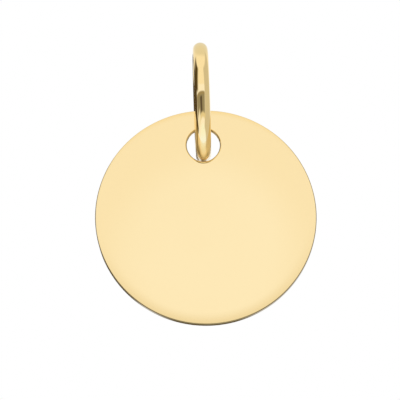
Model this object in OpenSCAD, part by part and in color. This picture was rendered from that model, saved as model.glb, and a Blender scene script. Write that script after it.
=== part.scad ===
// Engravable disc pendant: a flat round disc with a hole near its rim, hung on a round-wire
// jump ring whose plane stands square to the disc. Millimetres, +Z up, the front face of the
// disc towards -Y, +X to the wearer's left. The origin is at the inside of the ring's top,
// where the necklace chain lies.

/* [Disc] */
// Diameter of the disc
disc_d = 15; // [12:0.5:25]
// Thickness of the disc
disc_t = 0.45; // [0.4:0.05:0.8]
// Rounding of the disc's outer edges
rim_r = 0.06; // [0.04:0.01:0.18]

/* [Hole] */
// Diameter of the hole
hole_d = 2.25; // [1.8:0.05:3]
// Rounding of the hole's edges
hole_edge_r = 0.11; // [0.06:0.01:0.18]
// Metal left between the hole and the disc's rim
bridge_w = 1.3; // [0.8:0.05:1.8]

/* [Jump ring] */
// Outer diameter of the jump ring
ring_d = 8.2; // [7.5:0.05:12]
// Diameter of the ring's wire
wire_d = 1.04; // [0.6:0.01:1.2]
// Gap between the wire and the foot of the hole
foot_gap = 0.06; // [0.05:0.01:0.3]

/* [Hidden] */

gold = [0.99, 0.90, 0.69];

// Sides of the circles
disc_sides = 180;
hole_sides = 96;
wire_sides = 48;
ring_sides = 120;

disc_r = disc_d / 2;
hole_r = hole_d / 2;
wire_r = wire_d / 2;
// Radius of the circle that the wire's centre line follows
ring_line_r = ring_d / 2 - wire_r;
// The ring's inside top is at the origin, so its centre hangs one inner radius below
ring_z = -(ring_line_r - wire_r);
wire_foot_z = ring_z - ring_d / 2;
// The wire passes just above the foot of the hole
hole_z = wire_foot_z - foot_gap + hole_r;
disc_z = hole_z - (disc_r - bridge_w - hole_r);

// A flat round blank in the XZ plane, with both edges of its rim rounded
module rounded_blank(radius, thickness, round) {
    rotate([90, 0, 0])
        rotate_extrude($fn = disc_sides) {
            translate([0, -thickness / 2])
                square([radius - round, thickness]);
            translate([0, round - thickness / 2])
                square([radius, thickness - 2 * round]);
            for (side = [-1, 1])
                translate([radius - round, side * (thickness / 2 - round)])
                    circle(r = round, $fn = wire_sides);
        }
}

// The tool that cuts a hole and rounds both of its edges
module rounded_hole(radius, thickness, round) {
    rotate([90, 0, 0])
        rotate_extrude($fn = hole_sides)
            difference() {
                translate([0, -thickness])
                    square([radius + round, 2 * thickness]);
                for (side = [-1, 1])
                    translate([radius + round, side * (thickness / 2 - round)])
                        circle(r = round, $fn = wire_sides);
                translate([radius, round - thickness / 2])
                    square([2 * round, thickness - 2 * round]);
            }
}

// The plain disc that takes the engraving
module engraving_disc() {
    color(gold)
        difference() {
            translate([0, 0, disc_z])
                rounded_blank(disc_r, disc_t, rim_r);
            translate([0, 0, hole_z])
                rounded_hole(hole_r, disc_t, hole_edge_r);
        }
}

// The closed ring of round wire, in the YZ plane
module jump_ring() {
    color(gold)
        translate([0, 0, ring_z])
            rotate([0, 90, 0])
                rotate_extrude($fn = ring_sides)
                    translate([ring_line_r, 0])
                        circle(r = wire_r, $fn = wire_sides);
}

jump_ring();
engraving_disc();
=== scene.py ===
import math

import bpy
from mathutils import Matrix, Vector


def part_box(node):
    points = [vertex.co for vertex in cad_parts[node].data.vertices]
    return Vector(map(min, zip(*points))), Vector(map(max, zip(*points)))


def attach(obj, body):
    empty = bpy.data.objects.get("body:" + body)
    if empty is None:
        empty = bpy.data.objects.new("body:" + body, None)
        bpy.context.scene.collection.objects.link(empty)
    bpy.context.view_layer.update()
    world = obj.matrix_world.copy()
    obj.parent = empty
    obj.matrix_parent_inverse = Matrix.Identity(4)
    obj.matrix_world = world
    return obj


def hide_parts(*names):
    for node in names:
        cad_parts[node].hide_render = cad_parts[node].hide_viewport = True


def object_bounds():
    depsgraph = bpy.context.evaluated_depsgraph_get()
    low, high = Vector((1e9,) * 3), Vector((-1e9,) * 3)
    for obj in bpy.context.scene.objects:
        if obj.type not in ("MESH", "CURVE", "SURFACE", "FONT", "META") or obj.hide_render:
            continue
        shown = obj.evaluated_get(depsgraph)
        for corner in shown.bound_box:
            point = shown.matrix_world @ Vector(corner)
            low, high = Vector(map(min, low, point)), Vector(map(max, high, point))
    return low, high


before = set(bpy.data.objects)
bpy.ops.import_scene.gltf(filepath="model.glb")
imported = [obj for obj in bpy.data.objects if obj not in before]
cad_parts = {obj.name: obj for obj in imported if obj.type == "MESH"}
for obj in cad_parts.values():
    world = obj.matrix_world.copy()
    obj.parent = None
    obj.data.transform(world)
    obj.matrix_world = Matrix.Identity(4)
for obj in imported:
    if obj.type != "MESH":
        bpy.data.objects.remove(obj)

bl_info = {
    "name": "Engravable disc pendant",
    "version": (1, 0, 0),
    "blender": (4, 5, 0),
    "location": "3D View > Sidebar > Pendant",
    "description": "Dresses a disc pendant on its jump ring in polished gold, and lights it",
    "category": "Object",
}

# The object's box as the frame brings it, before anything is dressed
CAD_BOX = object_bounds()

DISC_LOW, DISC_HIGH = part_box("engraving_disc")
RING_LOW, RING_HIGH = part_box("jump_ring")

# Width and middle of the disc in the photo, in pixels of the square picture
PHOTO_SIDE = 400
DISC_PIXELS = 221.5
DISC_PIXEL_X = 205.85
DISC_PIXEL_Y = 217.8

WHITE = (1.0, 1.0, 1.0)
QUARTER_TURN = math.radians(90)


class DiscSettings(bpy.types.PropertyGroup):
    """Sizes of the disc that the frame's boxes don't give."""

    hole_diameter: bpy.props.FloatProperty(
        name="Hole diameter",
        description="Diameter of the hole that the jump ring passes through",
        default=0.00225, min=0.0018, max=0.003, precision=5, unit="LENGTH")
    bridge: bpy.props.FloatProperty(
        name="Bridge",
        description="Metal left between the hole and the rim of the disc",
        default=0.0013, min=0.0008, max=0.0018, precision=5, unit="LENGTH")
    rim_rounding: bpy.props.FloatProperty(
        name="Rim rounding",
        description="Radius of the rounding on the disc's outer edges",
        default=0.00006, min=0.00003, max=0.00018, precision=5, unit="LENGTH")
    hole_rounding: bpy.props.FloatProperty(
        name="Hole rounding",
        description="Radius of the rounding on the edges of the hole",
        default=0.00011, min=0.00006, max=0.00018, precision=5, unit="LENGTH")
    foot_rounding: bpy.props.FloatProperty(
        name="Rubbed foot of the hole",
        description="Radius of the rounding at the foot of the hole, where the ring has rubbed it",
        default=0.00021, min=0.00006, max=0.00024, precision=5, unit="LENGTH")
    foot_reach: bpy.props.FloatProperty(
        name="Reach of the rubbed foot",
        description="How far round the hole the rubbed foot reaches to each side",
        default=math.radians(60.0), min=0.1, max=math.radians(120.0), subtype="ANGLE")
    polish_reach: bpy.props.FloatProperty(
        name="Polish roll-off",
        description="How far in from the rim the polishing mop has rolled the flat face off",
        default=0.0008, min=0.0001, max=0.002, precision=5, unit="LENGTH")
    polish_lean: bpy.props.FloatProperty(
        name="Lean at the rim",
        description="How far the polished face leans outward where it meets the rounded rim",
        default=math.radians(3.0), min=0.0, max=math.radians(8.0), subtype="ANGLE")
    sides: bpy.props.IntProperty(
        name="Sides",
        description="Number of points round the rim and round the hole",
        default=320, min=96, max=640)


class RingSettings(bpy.types.PropertyGroup):
    """How finely the jump ring is drawn. Its sizes come from the frame."""

    turns: bpy.props.IntProperty(
        name="Points round the ring",
        description="Number of cross sections round the ring",
        default=288, min=96, max=640)
    sides: bpy.props.IntProperty(
        name="Points round the wire",
        description="Number of points round the wire",
        default=72, min=24, max=160)


class FinishSettings(bpy.types.PropertyGroup):
    """The polished gold of both pieces."""

    gold: bpy.props.FloatVectorProperty(
        name="Gold",
        description="Colour of the polished metal seen straight on",
        default=(0.993, 0.812, 0.474), min=0.0, max=1.0, size=3, subtype="COLOR")
    # drift_and_reflection_gold is a random tone drift over both pieces, and on the disc also a painted
    # reflection that deepens the face away from a pale point below its middle
    drift_and_reflection_gold: bpy.props.FloatVectorProperty(
        name="Deep gold",
        description="Slightly richer tone that drifts over the metal and lies towards the disc's rim",
        default=(0.970, 0.772, 0.424), min=0.0, max=1.0, size=3, subtype="COLOR")
    # highlight_gold is a painted highlight: the wire's foot is painted paler
    highlight_gold: bpy.props.FloatVectorProperty(
        name="Rubbed gold",
        description="Paler gold of the wire where it rubs in the hole",
        default=(0.993, 0.87, 0.64), min=0.0, max=1.0, size=3, subtype="COLOR")
    # border_shade_gold is painted shade: the face's border is painted darker near its foot
    border_shade_gold: bpy.props.FloatVectorProperty(
        name="Border gold",
        description="Richer gold of the face's border near its foot",
        default=(0.87, 0.67, 0.335), min=0.0, max=1.0, size=3, subtype="COLOR")
    # painted_dark_edge is painted shade: a painted dark reflection laid along the edges of the hole and
    # the rim
    painted_dark_edge: bpy.props.FloatVectorProperty(
        name="Punched edge",
        description="Colour of the duller edges that the punch left round the hole and the rim",
        default=(0.26, 0.215, 0.125), min=0.0, max=1.0, size=3, subtype="COLOR")
    roughness: bpy.props.FloatProperty(
        name="Roughness",
        description="Blur of the mirror polish",
        default=0.045, min=0.0, max=1.0, subtype="FACTOR")
    worn_roughness: bpy.props.FloatProperty(
        name="Worn roughness",
        description="Blur of the wire's foot, where it rubs in the hole",
        default=0.24, min=0.0, max=1.0, subtype="FACTOR")
    polish_lines: bpy.props.FloatProperty(
        name="Polishing lines",
        description="How strongly the fine lines of the polishing mop swing the disc's roughness",
        default=0.3, min=0.0, max=1.0, subtype="FACTOR")


class StageSettings(bpy.types.PropertyGroup):
    """Places of the camera and of the floor."""

    camera_elevation: bpy.props.FloatProperty(
        name="Camera elevation",
        description="Angle of the camera above the disc's middle; negative looks up at it",
        default=math.radians(-15.2), subtype="ANGLE")
    camera_azimuth: bpy.props.FloatProperty(
        name="Camera azimuth",
        description="Angle of the camera round the pendant, positive to the right of its front",
        default=math.radians(-0.8), subtype="ANGLE")
    camera_roll: bpy.props.FloatProperty(
        name="Camera roll",
        description="Lean of the picture, positive leans the pendant's top to the left",
        default=math.radians(2.0), subtype="ANGLE")
    camera_distance: bpy.props.FloatProperty(
        name="Camera distance",
        description="From the camera to the middle of the disc",
        default=0.46, min=0.1, max=1.0, unit="LENGTH")
    disc_share: bpy.props.FloatProperty(
        name="Disc's share of the picture",
        description="Width of the disc over the width of the picture",
        default=DISC_PIXELS / PHOTO_SIDE, min=0.1, max=0.95)
    disc_right: bpy.props.FloatProperty(
        name="Disc's place across",
        description="How far the disc's middle is right of the picture's middle, over the picture's width",
        default=(DISC_PIXEL_X - PHOTO_SIDE / 2) / PHOTO_SIDE)
    disc_down: bpy.props.FloatProperty(
        name="Disc's place down",
        description="How far the disc's middle is below the picture's middle, over the picture's width",
        default=(DISC_PIXEL_Y - PHOTO_SIDE / 2) / PHOTO_SIDE)
    floor_depth: bpy.props.FloatProperty(
        name="Floor depth",
        description="From the pendant's foot down to the floor",
        default=0.25, min=0.05, max=1.0, unit="LENGTH")


def circle_directions(count):
    """Cosine and sine of each of count even steps round a circle."""
    for step in range(count):
        angle = 2 * math.pi * step / count
        yield math.cos(angle), math.sin(angle)


def loop_object(name, rows, normals):
    """A closed skin through rows of equal length: each row is a ring, and the last row meets the first.

    The vertex normals are given exactly, so that a mirror finish shows no facets."""
    sides = len(rows[0])
    points = [point for row in rows for point in row]
    faces = []
    for row in range(len(rows)):
        below = row * sides
        above = (row + 1) % len(rows) * sides
        for side in range(sides):
            after = (side + 1) % sides
            faces.append((below + side, below + after, above + after, above + side))
    mesh = bpy.data.meshes.new(name)
    mesh.from_pydata(points, [], faces)
    mesh.validate()
    mesh.shade_smooth()
    mesh.normals_split_custom_set_from_vertices([normal for row in normals for normal in row])
    obj = bpy.data.objects.new(name, mesh)
    bpy.context.scene.collection.objects.link(obj)
    return obj


# Steps over each rounded edge of the disc, and over the roll-off of each face
CORNER_STEPS = 10
ROLL_STEPS = 6
# Where the face's other circles lie, as shares of the way from the roll-off to the hole
FACE_SHARES = (0.006, 0.03, 0.1, 0.25, 0.45, 0.65, 0.82, 0.93, 0.985)


def disc_skin(settings, middle, radius, half, hole_up):
    """Circles from the rim over the front face, the hole and the back face, and the normals there."""
    rounding = settings.rim_rounding
    hole_radius = settings.hole_diameter / 2
    flat_radius = radius - rounding - settings.polish_reach
    hole_reach = hole_radius + max(settings.hole_rounding, settings.foot_rounding)
    made = []

    def add_circle(centre_up, reach, depth, outward, forward):
        """One flat circle. Its normals point outward from its centre and forward to the front."""
        row, normals = [], []
        for across, up in circle_directions(settings.sides):
            row.append((middle.x + reach * across, middle.y - depth, middle.z + centre_up + reach * up))
            normals.append((outward * across, -forward, outward * up))
        made.append((row, normals))

    def add_roll_off(steps, end):
        """Circles on one face near the rim, where the polish leans the mirror a little outward."""
        for step in steps:
            share = step / ROLL_STEPS
            turn = settings.polish_lean * (1 - share) ** 2
            add_circle(0.0, radius - rounding - share * settings.polish_reach, end * half,
                       math.sin(turn), end * math.cos(turn))

    def add_face(shares, end):
        """Circles that slide over one face, between its roll-off and the hole."""
        for share in shares:
            add_circle(share * hole_up, (1 - share) * flat_radius + share * hole_reach, end * half,
                       0.0, end)

    def add_hole_circle(turn, end):
        """One circle of the hole's edge, rounder at the foot, where the ring has rubbed it."""
        row, normals = [], []
        for across, up in circle_directions(settings.sides):
            from_foot = math.acos(max(-1.0, min(1.0, -up)))
            rub = max(0.0, 1 - from_foot / settings.foot_reach)
            rub = rub * rub * (3 - 2 * rub)
            round_here = settings.hole_rounding + (settings.foot_rounding - settings.hole_rounding) * rub
            reach = hole_radius + round_here * (1 - math.cos(turn))
            depth = end * (half - round_here) + round_here * math.sin(turn)
            row.append((middle.x + reach * across, middle.y - depth, middle.z + hole_up + reach * up))
            normals.append((-math.cos(turn) * across, -math.sin(turn), -math.cos(turn) * up))
        made.append((row, normals))

    # Rim, from its back edge over the wall to its front edge. Its normals start at the face's lean.
    steepest = QUARTER_TURN - settings.polish_lean
    for end in (-1, 1):
        for step in range(CORNER_STEPS + 1):
            share = step / CORNER_STEPS
            turn = QUARTER_TURN * (share if end > 0 else share - 1)
            leaned = min(max(turn, -steepest), steepest)
            add_circle(0.0, radius - rounding + rounding * math.cos(turn),
                       end * (half - rounding) + rounding * math.sin(turn),
                       math.cos(leaned), math.sin(leaned))
    # Front face
    add_roll_off(range(1, ROLL_STEPS + 1), 1)
    add_face(FACE_SHARES, 1)
    # Hole, from its front edge over the wall to its back edge
    for end in (1, -1):
        for step in range(CORNER_STEPS + 1):
            share = step / CORNER_STEPS
            add_hole_circle(QUARTER_TURN * (1 - share if end > 0 else -share), end)
    # Back face
    add_face(reversed(FACE_SHARES), -1)
    add_roll_off(range(ROLL_STEPS, 0, -1), -1)
    return zip(*made)


def ring_skin(settings, middle, wire_radius, line_radius):
    """Circles along the ring, one for each point round its wire, and the normals there."""
    made = []
    for out, left in circle_directions(settings.sides):
        reach = line_radius + wire_radius * out
        row, normals = [], []
        for up, back in circle_directions(settings.turns):
            row.append((middle.x - wire_radius * left, middle.y + reach * back, middle.z + reach * up))
            normals.append((-left, out * back, out * up))
        made.append((row, normals))
    return zip(*made)


class NodeTree:
    """Builds the nodes of one material or world."""

    def __init__(self, owner, coordinates):
        owner.use_nodes = True
        self.nodes = owner.node_tree.nodes
        self.links = owner.node_tree.links
        self.place = self.nodes.new("ShaderNodeTexCoord").outputs[coordinates]

    def ramp(self, value, span, to):
        """A smooth ramp: value over span becomes to, held beyond both ends."""
        node = self.nodes.new("ShaderNodeMapRange")
        node.interpolation_type = "SMOOTHSTEP"
        self.links.new(value, node.inputs["Value"])
        node.inputs["From Min"].default_value, node.inputs["From Max"].default_value = span
        node.inputs["To Min"].default_value, node.inputs["To Max"].default_value = to
        return node.outputs["Result"]

    def mix(self, factor, first, second):
        """A blend of two colours, either of which may be another blend."""
        node = self.nodes.new("ShaderNodeMix")
        node.data_type = "RGBA"
        self.links.new(factor, node.inputs["Factor"])
        for name, colour in (("A", first), ("B", second)):
            if isinstance(colour, bpy.types.NodeSocket):
                self.links.new(colour, node.inputs[name])
            else:
                node.inputs[name].default_value = (*colour, 1.0)
        return node.outputs["Result"]


# Factors for Surface.distance: within the disc's plane only, and up and down only
IN_PLANE = (1.0, 0.0, 1.0)
UPRIGHT = (0.0, 0.0, 1.0)


class Surface(NodeTree):
    """Builds one metal, patterned by the piece's own coordinates in metres."""

    def __init__(self, name):
        self.material = bpy.data.materials.new(name)
        super().__init__(self.material, "Object")
        self.shader = self.nodes["Principled BSDF"]
        self.shader.inputs["Metallic"].default_value = 1.0

    def noise(self, cells, detail, turn=(0.0, 0.0, 0.0)):
        """Noise with so many cells a metre along each axis. A turn picks another stretch of the noise."""
        mapping = self.nodes.new("ShaderNodeMapping")
        mapping.inputs["Rotation"].default_value = turn
        mapping.inputs["Scale"].default_value = cells
        self.links.new(self.place, mapping.inputs["Vector"])
        node = self.nodes.new("ShaderNodeTexNoise")
        node.inputs["Scale"].default_value = 1.0
        node.inputs["Detail"].default_value = detail
        self.links.new(mapping.outputs["Vector"], node.inputs["Vector"])
        return node.outputs["Fac"]

    def distance(self, point, along=(1.0, 1.0, 1.0)):
        """Distance from a point, along the axes that have a factor of 1."""
        scaled = self.nodes.new("ShaderNodeVectorMath")
        scaled.operation = "MULTIPLY"
        self.links.new(self.place, scaled.inputs[0])
        scaled.inputs[1].default_value = along
        node = self.nodes.new("ShaderNodeVectorMath")
        node.operation = "DISTANCE"
        self.links.new(scaled.outputs["Vector"], node.inputs[0])
        node.inputs[1].default_value = [part * factor for part, factor in zip(point, along)]
        return node.outputs["Value"]

    def finish(self, tone, roughness):
        """Links the colour and the roughness to the shader, and gives the material."""
        self.links.new(tone, self.shader.inputs["Base Color"])
        self.links.new(roughness, self.shader.inputs["Roughness"])
        return self.material


# Tone drift, in cells of about 6 mm. Over this part of the noise the gold turns to deep gold,
# and at most by this share.
DRIFT_CELLS = (160.0, 160.0, 160.0)
DRIFT_DETAIL = 1.5
DRIFT_NOISE = (0.35, 0.75)
DRIFT_MOST = 0.3

# Lines of the polishing mop, upright, about 0.05 mm wide and 1 mm long
LINE_CELLS = (22000.0, 22000.0, 900.0)
LINE_DETAIL = 2.0
LINE_TURN = (0.0, 0.6, 0.0)
LINE_NOISE = (0.3, 0.7)

# The face's painted reflection is palest this far below its middle, and the gold deepens over this reach
PAINTED_PALE_DROP = 0.0022
PAINTED_PALE_REACH = (0.0042, 0.0075)
# The hole's painted dark edge fades out over these shares of its rounding
HOLE_EDGE_SHARES = (0.2, 0.8)
HOLE_EDGE_SHADE = 0.7
# Distances from the hole's foot over which its painted edge turns from bright to dark
HOLE_FOOT_REACH = (0.0004, 0.0009)
# The painted shade of the border begins inside the rim and would be full just beyond it
BORDER_INSIDE = 0.0009
BORDER_BEYOND = 0.0001
# The rim's painted dark line sets in over these shares of its rounding
RIM_SHARES = (1.1, 0.55)
RIM_SHADE = 0.9
# Distances from the disc's top over which the painted border shade and the painted dark rim line grow to
# full strength
BORDER_FROM_TOP = (0.0105, 0.0148)
RIM_FROM_TOP = (0.003, 0.012)
RIM_LEAST = 0.1

# Heights above the wire's foot over which its painted highlight fades out, and over which its polish turns
# sharp
HIGHLIGHT_HEIGHT = (0.0004, 0.0013)
WORN_HEIGHT = (0.0003, 0.0011)


def drifting_gold(surface, settings):
    """Yellow gold with a faint tone drift."""
    drift = surface.ramp(surface.noise(DRIFT_CELLS, DRIFT_DETAIL), DRIFT_NOISE, (0.0, DRIFT_MOST))
    return surface.mix(drift, settings.gold, settings.drift_and_reflection_gold)


def mop_lines(surface, settings):
    """Roughness with the fine lines of the mop, which blur the mirror a little more and a little less."""
    swing = settings.roughness * settings.polish_lines
    return surface.ramp(surface.noise(LINE_CELLS, LINE_DETAIL, LINE_TURN), LINE_NOISE,
                        (settings.roughness - swing, settings.roughness + swing))


def disc_gold(settings, disc, middle, radius, hole_middle):
    """The disc's gold with painted light: a painted reflection palest below the face's middle, painted
    shade at its foot, and painted dark lines on the edges of the hole and the rim.
    """
    surface = Surface("disc_gold")
    # Painted reflection: the face is painted palest a little below its middle and deeper further out
    painted_reflection_fade = surface.ramp(surface.distance(middle - Vector((0, 0, PAINTED_PALE_DROP))), PAINTED_PALE_REACH, (0.0, 1.0))
    tone = surface.mix(painted_reflection_fade, drifting_gold(surface, settings), settings.drift_and_reflection_gold)

    # A painted dark reflection along the hole's edge, left out at its foot, where the edge shows bright
    hole_radius = disc.hole_diameter / 2
    edge_span = [hole_radius + share * disc.hole_rounding for share in HOLE_EDGE_SHARES]
    edge = surface.ramp(surface.distance(hole_middle, IN_PLANE), edge_span, (HOLE_EDGE_SHADE, 0.0))
    painted_hole_edge = surface.mix(edge, tone, settings.painted_dark_edge)
    hole_foot = hole_middle - Vector((0, 0, hole_radius))
    away_from_bright_foot = surface.ramp(surface.distance(hole_foot, IN_PLANE), HOLE_FOOT_REACH, (0.0, 1.0))
    tone = surface.mix(away_from_bright_foot, tone, painted_hole_edge)

    # Painted shade: the face's darker border, then a painted dark line on the rim, both fading out towards
    # the top
    out = surface.distance(middle, IN_PLANE)
    from_top = surface.distance(middle + Vector((0, 0, radius)))
    border = surface.ramp(out, (radius - BORDER_INSIDE, radius + BORDER_BEYOND), (0.0, 1.0))
    border_shaded = surface.mix(border, tone, settings.border_shade_gold)
    tone = surface.mix(surface.ramp(from_top, BORDER_FROM_TOP, (0.0, 1.0)), tone, border_shaded)
    rim_span = [radius - share * disc.rim_rounding for share in RIM_SHARES]
    shaded_rim = surface.mix(surface.ramp(out, rim_span, (0.0, RIM_SHADE)), tone, settings.painted_dark_edge)
    tone = surface.mix(surface.ramp(from_top, RIM_FROM_TOP, (RIM_LEAST, 1.0)), tone, shaded_rim)
    return surface.finish(tone, mop_lines(surface, settings))


def ring_gold(settings, foot):
    """The wire's gold, with a painted highlight that makes it paler near the foot, where the ring sits in
    the hole, and a less sharp polish there.
    """
    surface = Surface("ring_gold")
    height = surface.distance(foot, UPRIGHT)
    # Painted highlight: the wire is painted paler near its foot
    rubbed = surface.ramp(height, HIGHLIGHT_HEIGHT, (1.0, 0.0))
    tone = surface.mix(rubbed, drifting_gold(surface, settings), settings.highlight_gold)
    return surface.finish(tone, surface.ramp(height, WORN_HEIGHT,
                                             (settings.worn_roughness, settings.roughness)))


class PENDANT_OT_engraving_disc(bpy.types.Operator):
    """Lathe the flat disc with its rounded rim and its rounded hole"""

    bl_idname = "pendant.engraving_disc"
    bl_label = "Engraving disc"

    def execute(self, context):
        settings = context.scene.pendant_disc
        middle = (DISC_LOW + DISC_HIGH) / 2
        radius = (DISC_HIGH.x - DISC_LOW.x) / 2
        half = (DISC_HIGH.y - DISC_LOW.y) / 2
        hole_up = radius - settings.bridge - settings.hole_diameter / 2
        disc = loop_object("polished_disc", *disc_skin(settings, middle, radius, half, hole_up))
        hole_middle = middle + Vector((0, 0, hole_up))
        disc.data.materials.append(disc_gold(context.scene.pendant_finish, settings, middle, radius,
                                             hole_middle))
        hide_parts("engraving_disc")
        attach(disc, "disc")
        return {"FINISHED"}


class PENDANT_OT_jump_ring(bpy.types.Operator):
    """Sweep the round wire of the jump ring"""

    bl_idname = "pendant.jump_ring"
    bl_label = "Jump ring"

    def execute(self, context):
        middle = (RING_LOW + RING_HIGH) / 2
        wire_radius = (RING_HIGH.x - RING_LOW.x) / 2
        line_radius = (RING_HIGH.z - RING_LOW.z) / 2 - wire_radius
        ring = loop_object("polished_ring", *ring_skin(context.scene.pendant_ring, middle, wire_radius,
                                                       line_radius))
        ring.data.materials.append(ring_gold(context.scene.pendant_finish, Vector((0, 0, RING_LOW.z))))
        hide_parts("jump_ring")
        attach(ring, "ring")
        return {"FINISHED"}


# A span whose soft ends lie beyond a full turn
ALL_ROUND = (-400, 400)
SHIELD_BROWN = (0.085, 0.060, 0.020)
# What the polished metal mirrors, by direction from the pendant. Azimuth 0 is in front of the disc
# and 90 on the right seen from there, elevation is above the horizon, all in degrees. Later cards lie
# over earlier ones. A board has spans of azimuth and elevation, a shield is round and has a middle
# and a reach, and soft is how wide the edge fades.
TENT_CARDS = (
    {"name": "table", "azimuth": ALL_ROUND, "elevation": (-120, -56),
     "soft": 10, "colour": (0.98, 1.07, 1.08)},
    {"name": "warm roof", "azimuth": ALL_ROUND, "elevation": (20, 120),
     "soft": 5, "colour": (0.98, 0.92, 0.77)},
    {"name": "back roof", "middle": (177, 57), "reach": 35,
     "soft": 14, "colour": (0.80, 0.76, 0.62)},
    {"name": "right shield", "azimuth": (36, 132), "elevation": (-60, 52),
     "soft": 9, "colour": (0.66, 0.62, 0.50)},
    {"name": "opening's foot", "azimuth": (-74, 44), "elevation": (-43, -30),
     "soft": 8, "colour": (0.80, 0.72, 0.50)},
    {"name": "front opening", "azimuth": (-88, 34), "elevation": (-33, 5.5),
     "soft": 7, "colour": (0.31, 0.285, 0.205)},
    {"name": "opening's lintel", "azimuth": (-87, 34), "elevation": (1, 6.5),
     "soft": 4, "colour": (0.36, 0.30, 0.18)},
    {"name": "opening's sill", "azimuth": (-95, -48), "elevation": (-40, -21),
     "soft": 12, "colour": (0.95, 0.92, 0.85)},
    {"name": "camera", "azimuth": (-35, -6), "elevation": (-31, -2),
     "soft": 6, "colour": (0.115, 0.092, 0.065)},
    {"name": "grey edge", "azimuth": (-80, -61), "elevation": (10, 46),
     "soft": 7, "colour": (0.42, 0.37, 0.27)},
    {"name": "left shield", "azimuth": (-124, -76), "elevation": (11, 44),
     "soft": 7, "colour": SHIELD_BROWN},
    {"name": "left shield's rear", "azimuth": (-152, -118), "elevation": (8, 25),
     "soft": 5, "colour": SHIELD_BROWN},
    {"name": "left shield's tail", "azimuth": (-171, -148), "elevation": (8, 18),
     "soft": 4, "colour": SHIELD_BROWN},
    {"name": "left shield's stand", "middle": (-164, 6), "reach": 9,
     "soft": 6, "colour": (0.11, 0.075, 0.02)},
    {"name": "left shield's corner", "middle": (-129, 11), "reach": 12,
     "soft": 6, "colour": SHIELD_BROWN},
    {"name": "left shield's foot", "middle": (-108, 4), "reach": 18,
     "soft": 6, "colour": (0.075, 0.050, 0.020)},
    {"name": "left shield's leg", "azimuth": (-119, -95), "elevation": (-30, 5),
     "soft": 6, "colour": (0.075, 0.050, 0.018)},
    {"name": "left low board", "azimuth": (-178, -117), "elevation": (-52, -19),
     "soft": 5, "colour": (0.10, 0.07, 0.025)},
    {"name": "table edge", "middle": (180, -14), "reach": 11,
     "soft": 8, "colour": (0.20, 0.14, 0.055)},
)


def direction(azimuth, elevation):
    """The unit vector towards an azimuth and elevation in degrees."""
    turn = math.radians(azimuth)
    rise = math.radians(elevation)
    return Vector((math.sin(turn) * math.cos(rise), -math.cos(turn) * math.cos(rise), math.sin(rise)))


class Tent(NodeTree):
    """Builds the light tent, by direction from the pendant."""

    def __init__(self, world):
        super().__init__(world, "Generated")
        split = self.nodes.new("ShaderNodeSeparateXYZ")
        self.links.new(self.place, split.inputs[0])
        forward = self.maths("MULTIPLY", split.outputs["Y"], -1.0)
        self.azimuth = self.maths("DEGREES", self.maths("ARCTAN2", split.outputs["X"], forward))
        self.elevation = self.maths("DEGREES", self.maths("ARCSINE", split.outputs["Z"]))

    def maths(self, operation, *values):
        """One step of arithmetic on numbers or on other steps."""
        node = self.nodes.new("ShaderNodeMath")
        node.operation = operation
        for socket, value in zip(node.inputs, values):
            if isinstance(value, bpy.types.NodeSocket):
                self.links.new(value, socket)
            else:
                socket.default_value = value
        return node.outputs[0]

    def within(self, off, reach, soft):
        """1 where off is below reach, falling to 0 over the soft edge."""
        return self.ramp(off, (reach - soft / 2, reach + soft / 2), (1.0, 0.0))

    def strip(self, angle, span, soft):
        """1 where an angle lies in its span."""
        low, high = span
        off = self.maths("ABSOLUTE", self.maths("SUBTRACT", angle, (low + high) / 2))
        return self.within(off, (high - low) / 2, soft)

    def shield(self, middle, reach, soft):
        """1 in a round shield."""
        dot = self.nodes.new("ShaderNodeVectorMath")
        dot.operation = "DOT_PRODUCT"
        self.links.new(self.place, dot.inputs[0])
        dot.inputs[1].default_value = direction(*middle)
        off = self.maths("DEGREES", self.maths("ARCCOSINE", dot.outputs["Value"]))
        return self.within(off, reach, soft)

    def mask(self, card):
        """1 where a card hangs, a board or a round shield."""
        if "reach" in card:
            return self.shield(card["middle"], card["reach"], card["soft"])
        return self.maths("MULTIPLY", self.strip(self.azimuth, card["azimuth"], card["soft"]),
                          self.strip(self.elevation, card["elevation"], card["soft"]))


def light_tent(scene):
    """A white light tent with its darker cards, and a plain white ground behind the pendant."""
    scene.world = bpy.data.worlds.new("light_tent")
    tent = Tent(scene.world)
    colour = WHITE
    for card in TENT_CARDS:
        colour = tent.mix(tent.mask(card), colour, card["colour"])
        colour.node.label = card["name"]
    seen_by = tent.nodes.new("ShaderNodeLightPath")
    ground = tent.mix(seen_by.outputs["Is Camera Ray"], colour, WHITE)
    tent.links.new(ground, tent.nodes["Background"].inputs["Color"])


# Half the width of the floor, in metres, and its paper
FLOOR_REACH = 4.0
PAPER = (0.98, 0.98, 0.99, 1.0)
PAPER_ROUGHNESS = 0.9


def pale_floor(scene, height):
    """A plain paper floor, far enough below for a camera that looks up."""
    mesh = bpy.data.meshes.new("floor")
    corners = [(across * FLOOR_REACH, back * FLOOR_REACH, height)
               for across, back in ((-1, -1), (1, -1), (1, 1), (-1, 1))]
    mesh.from_pydata(corners, [], [(0, 1, 2, 3)])
    floor = bpy.data.objects.new("floor", mesh)
    scene.collection.objects.link(floor)
    paper = bpy.data.materials.new("pale_paper")
    paper.use_nodes = True
    shader = paper.node_tree.nodes["Principled BSDF"]
    shader.inputs["Base Color"].default_value = PAPER
    shader.inputs["Roughness"].default_value = PAPER_ROUGHNESS
    mesh.materials.append(paper)
    # The metal mirrors the tent and not the floor
    floor.visible_glossy = False


# Sensor in millimetres, and the distances between which the camera sees, in metres
SENSOR_WIDTH = 36.0
NEAREST = 0.01
FARTHEST = 20.0


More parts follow.
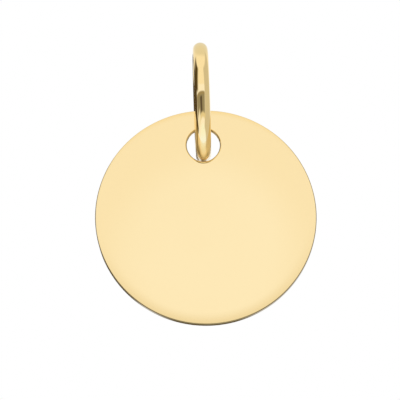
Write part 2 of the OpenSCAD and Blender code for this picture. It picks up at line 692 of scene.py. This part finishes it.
def aimed_camera(scene, settings):
    """The camera, aimed so that the disc has its size and place in the photo."""
    data = bpy.data.cameras.new("camera")
    data.sensor_width = SENSOR_WIDTH
    view_width = (DISC_HIGH.x - DISC_LOW.x) / settings.disc_share
    data.lens = data.sensor_width * settings.camera_distance / view_width
    data.clip_start = NEAREST
    data.clip_end = FARTHEST
    camera = bpy.data.objects.new("camera", data)
    scene.collection.objects.link(camera)
    back = direction(math.degrees(settings.camera_azimuth), math.degrees(settings.camera_elevation))
    facing = (-back).to_track_quat("-Z", "Y").to_matrix().to_4x4()
    look = facing @ Matrix.Rotation(-settings.camera_roll, 4, "Z")
    side = look.col[0].to_3d()
    above = look.col[1].to_3d()
    middle = (DISC_LOW + DISC_HIGH) / 2
    aim = middle - side * settings.disc_right * view_width + above * settings.disc_down * view_width
    camera.rotation_mode = "QUATERNION"
    camera.rotation_quaternion = look.to_quaternion()
    camera.location = aim + back * settings.camera_distance
    scene.camera = camera


class PENDANT_OT_stage(bpy.types.Operator):
    """Set the floor, the light tent and the camera"""

    bl_idname = "pendant.stage"
    bl_label = "Stage"

    def execute(self, context):
        scene = context.scene
        settings = scene.pendant_stage
        scene.view_settings.view_transform = "Standard"
        light_tent(scene)
        pale_floor(scene, CAD_BOX[0].z - settings.floor_depth)
        aimed_camera(scene, settings)
        return {"FINISHED"}


SETTINGS = (
    ("pendant_disc", "Disc", DiscSettings),
    ("pendant_ring", "Ring", RingSettings),
    ("pendant_finish", "Finish", FinishSettings),
    ("pendant_stage", "Stage", StageSettings),
)
STEPS = (PENDANT_OT_stage, PENDANT_OT_engraving_disc, PENDANT_OT_jump_ring)


class PENDANT_PT_sidebar(bpy.types.Panel):
    """Lists the pendant's settings and the steps that build it"""

    bl_idname = "PENDANT_PT_sidebar"
    bl_label = "Disc pendant"
    bl_space_type = "VIEW_3D"
    bl_region_type = "UI"
    bl_category = "Pendant"

    def draw(self, context):
        for name, title, group in SETTINGS:
            box = self.layout.box()
            box.label(text=title)
            for setting in group.__annotations__:
                box.prop(getattr(context.scene, name), setting)
        for step in STEPS:
            self.layout.operator(step.bl_idname)


def register():
    for name, _, group in SETTINGS:
        bpy.utils.register_class(group)
        setattr(bpy.types.Scene, name, bpy.props.PointerProperty(type=group))
    for step in STEPS:
        bpy.utils.register_class(step)
    bpy.utils.register_class(PENDANT_PT_sidebar)


def unregister():
    bpy.utils.unregister_class(PENDANT_PT_sidebar)
    for step in reversed(STEPS):
        bpy.utils.unregister_class(step)
    for name, _, group in reversed(SETTINGS):
        delattr(bpy.types.Scene, name)
        bpy.utils.unregister_class(group)


def main():
    register()
    bpy.ops.pendant.stage()
    bpy.ops.pendant.engraving_disc()
    bpy.ops.pendant.jump_ring()


if __name__ == "__main__":
    main()
